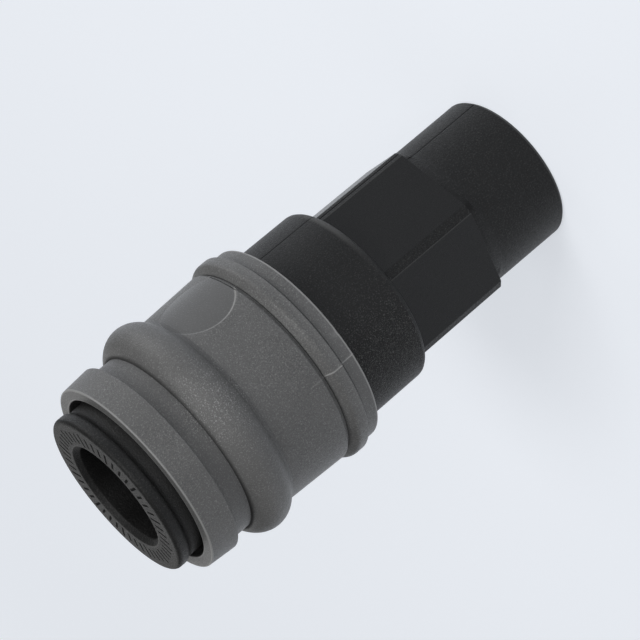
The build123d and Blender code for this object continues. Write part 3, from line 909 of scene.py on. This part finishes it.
# painted shade in the crease behind the bead
behind_bead = (np.abs(rear_outline[:, 0] - tail_band_radius) < 0.02) & (
    rear_outline[:, 1] > tail_band_top - 0.3)
rear_outline[behind_bead, 2] = -0.9
# the last value of each corner: painted shade on the waist and in the band's rear root, painted highlight on
# the lip's edges
front_outline = open_outline([
    (waist_radius, waist_level, 0, 0),
    (waist_radius, band_rear - 0.5, 0, -0.15),
    (waist_radius, band_rear, 0.08, -1),
    (band_radius, band_rear, 0.15, 0),
    (lip_radius, sleeve_front, 0.1, 0.7),
    (lip_inner_radius, sleeve_front, 0.12, 0.6),
    (lip_inner_radius, ramp_top, 0.1, 0),
    (ramp_top_radius, ramp_top, 0.1, 0),
    (land_radius, land_top, 0.3, 0),
    (land_radius, land_bottom, 0.1, 0),
    (skirt_inner_radius, land_bottom, 0.3, 0),
    (skirt_inner_radius, skirt_inside_level, 0, 0),
], steps=5, support=0.12)
sleeve_rows = np.concatenate([
    rear_outline,
    np.column_stack([band_line, band_rows, np.zeros(len(band_rows))]),
    np.column_stack([ring_rows, ring_shade]),
    front_outline,
])
sleeve_angles = np.unique(np.concatenate([
    dense_angles(even=150, centres=[flash_angle, nick_angle], half_width=0.8, count=13),
    pad_angle + np.linspace(-pad_half_turn, pad_half_turn, 120)]))
sleeve_radius = np.repeat(sleeve_rows[:, :1], len(sleeve_angles), axis=1)
sleeve_level = sleeve_rows[:, 1:2]
inside_rows = 50                # from the lip's edge round the inside
before_inside = np.arange(len(sleeve_rows))[:, None] < len(sleeve_rows) - inside_rows
outside = (sleeve_rows[:, :1] > waist_radius - 0.05) & before_inside


def smooth_step(value):
    """0 below 0, 1 above 1, and 3 v^2 - 2 v^3 between."""
    v = np.clip(value, 0, 1)
    return v * v * (3 - 2 * v)


# the pad is sunk where the distance from its centre, over the band's surface, is within its radius; it runs
# out level with the band on its left, and its rim has a painted highlight on the right
pad_across = np.radians(sleeve_angles - pad_angle) * pad_arc_radius
pad_distance = np.hypot(pad_across, sleeve_level - pad_level)
pad_share = smooth_step((pad_radius - pad_distance) / pad_wall + 0.5)
pad_tilt = 0.1 + 0.9 * smooth_step(0.5 - pad_across / pad_radius / 1.4)
pad_floor = skirt_end_radius + band_slope * (sleeve_level - skirt_level) - pad_depth * pad_tilt
sunk = np.minimum(sleeve_radius, pad_floor)
ring_root_level = ring_rows[fillet_steps, 1]
pad_rows = (sleeve_level > skirt_level - 0.05) & (sleeve_level < ring_root_level + 1.2) & outside
sleeve_radius = np.where(pad_rows, sleeve_radius + pad_share * (sunk - sleeve_radius), sleeve_radius)
rim_way = (-pad_across * 0.9 + (sleeve_level - pad_level) * 0.45) / pad_radius
pad_rim_highlight = bell(pad_distance - pad_radius, pad_rim_width) * smooth_step(1.5 * rim_way + 0.5) * pad_rows

# the flash is a fine ridge along the axis, over the bead and the tail band, with its colour lightened along
# it, and fades out in front of them
flash_across = np.radians(turn_from(sleeve_angles, flash_angle)) * bead_radius
flash_share = bell(flash_across, flash_width / 2)
flash_share = flash_share * np.where(outside & (sleeve_level < tail_band_top + 4), 1, 0)
flash_share = flash_share * (1 - 0.75 * smooth_step((sleeve_level - bead_front + 0.4) / 0.5))
sleeve_radius = sleeve_radius + flash_height * flash_share

# a small nick in the tail band, a round dent, with its colour lightened
nick_across = np.radians(turn_from(sleeve_angles, nick_angle)) * tail_band_radius
nick_share = bell(np.hypot(nick_across, sleeve_level - nick_level), nick_size) * outside
sleeve_radius = sleeve_radius - nick_depth * nick_share

# the grain is coarser on one side of the grip ring, with stronger painted glints and a faint painted
# highlight
on_ring = np.abs(sleeve_level - ring_level_z) < grip_section
coarse_side_and_glints = 1.6 * bell(sleeve_angles - coarse_ring_glint_angle, coarse_ring_spread) * (on_ring & outside)

sleeve = surface_piece(
    "sleeve_moulding",
    (turned(sleeve_radius, sleeve_rows[:, 1], sleeve_angles), True, True,
     sleeve_rows[:, 2:3] + flash_share + 0.5 * nick_share + pad_rim_highlight + 0.06 * coarse_side_and_glints,
     0.8 * pad_share * pad_rows - coarse_side_and_glints),
)
# edge is the colour of the painted highlights and painted glints
grey_plastic = grained_plastic(
    "grey_plastic", dark=(0.085, 0.085, 0.084), light=(0.14, 0.14, 0.139), edge=(0.38, 0.38, 0.375),
    grain_size=0.2, grain_depth=0.08, gloss=(0.34, 0.5), specular=0.5, points=0.4,
)
sleeve.data.materials.append(grey_plastic)
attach(sleeve, "sleeve_shell")
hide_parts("sleeve")

# ------------------------------------------------------------
# Floor: a plain pale sheet, large enough to fill the view from every side. It glows a little where
# the camera or a reflection sees it, which makes it pale without lighting the coupling.
# ------------------------------------------------------------
floor_half = 4.0                # metres
floor_glow = 0.65
floor_mesh = bpy.data.meshes.new("floor")
floor_mesh.from_pydata(
    [(-floor_half, -floor_half, 0), (floor_half, -floor_half, 0), (floor_half, floor_half, 0),
     (-floor_half, floor_half, 0)], [], [(0, 1, 2, 3)])
floor = bpy.data.objects.new("floor", floor_mesh)
bpy.context.scene.collection.objects.link(floor)
floor_paint, floor_tree, floor_shader = new_material("floor_paint", 0.8, 0.1)[:3]
floor_shader.inputs["Base Color"].default_value = (0.45, 0.46, 0.48, 1)
floor_shader.inputs["Emission Color"].default_value = (0.84, 0.88, 0.94, 1)
seen = floor_tree.nodes.new("ShaderNodeLightPath")
seen_directly = worked(floor_tree, "MAXIMUM", seen.outputs["Is Camera Ray"], worked(
    floor_tree, "MAXIMUM", seen.outputs["Is Glossy Ray"], seen.outputs["Is Transmission Ray"]))
floor_tree.links.new(worked(floor_tree, "MULTIPLY", seen_directly, floor_glow),
                     floor_shader.inputs["Emission Strength"])
floor_mesh.materials.append(floor_paint)

# ------------------------------------------------------------
# Light: a faint even sky and five large soft lamps: above, on the left, on the right, in front at
# the camera's side, and behind.
# ------------------------------------------------------------
world = bpy.data.worlds.new("pale_sky")
bpy.context.scene.world = world
world.use_nodes = True
sky = world.node_tree.nodes["Background"]
sky.inputs["Color"].default_value = (0.98, 0.99, 1.0, 1)
sky.inputs["Strength"].default_value = 0.15


def soft_lamp(name, towards, distance, size, watts):
    """A square lamp that stands off the coupling's middle in a direction and faces it."""
    light = bpy.data.lights.new(name, "AREA")
    light.shape = "SQUARE"
    light.size = size
    light.energy = watts
    lamp = bpy.data.objects.new(name, light)
    middle = np.array([0, 0, nose_face * mm / 2])
    way = np.asarray(towards, float) / np.linalg.norm(towards)
    lamp.location = middle + way * distance
    lamp.rotation_mode = "QUATERNION"
    lamp.rotation_quaternion = Vector(way).to_track_quat("Z", "Y")
    bpy.context.scene.collection.objects.link(lamp)


soft_lamp("lamp_above", towards=(-0.24, -0.47, 0.86), distance=0.6, size=0.2, watts=1.3)
soft_lamp("lamp_left", towards=(0.585, -0.807, 0.1), distance=0.6, size=0.4, watts=1.1)
soft_lamp("lamp_right", towards=(-0.5, 0.85, 0.12), distance=0.6, size=0.4, watts=0.35)
soft_lamp("lamp_front", towards=(-0.775, -0.529, 0.346), distance=0.8, size=0.4, watts=1.3)
soft_lamp("lamp_behind", towards=(0.75, 0.5, 0.4), distance=0.7, size=0.5, watts=0.5)

# ------------------------------------------------------------
# Camera: a long lens that looks down at the nose from its side, rolled so that the coupling lies
# across the picture with its nose at the lower left.
# ------------------------------------------------------------
camera_aim = 0.18, -0.26, 28.66  # close to the coupling's middle
camera_distance = 246.5
camera_azimuth, camera_elevation, camera_roll = np.radians([-145.7, 20.25, -130.12])

camera_data = bpy.data.cameras.new("camera")
camera_data.sensor_width = 36
camera_data.angle = np.radians(16)
camera_data.clip_start, camera_data.clip_end = 0.01, 20
camera = bpy.data.objects.new("camera", camera_data)
bpy.context.scene.collection.objects.link(camera)
camera.matrix_world = (
    Matrix.Translation(np.array(camera_aim) * mm)
    @ Matrix.Rotation(camera_azimuth + np.pi / 2, 4, "Z")
    @ Matrix.Rotation(np.pi / 2 - camera_elevation, 4, "X")
    @ Matrix.Rotation(camera_roll, 4, "Z")
    @ Matrix.Translation((0, 0, camera_distance * mm)))
bpy.context.scene.camera = camera

bpy.context.scene.view_settings.view_transform = "Standard"
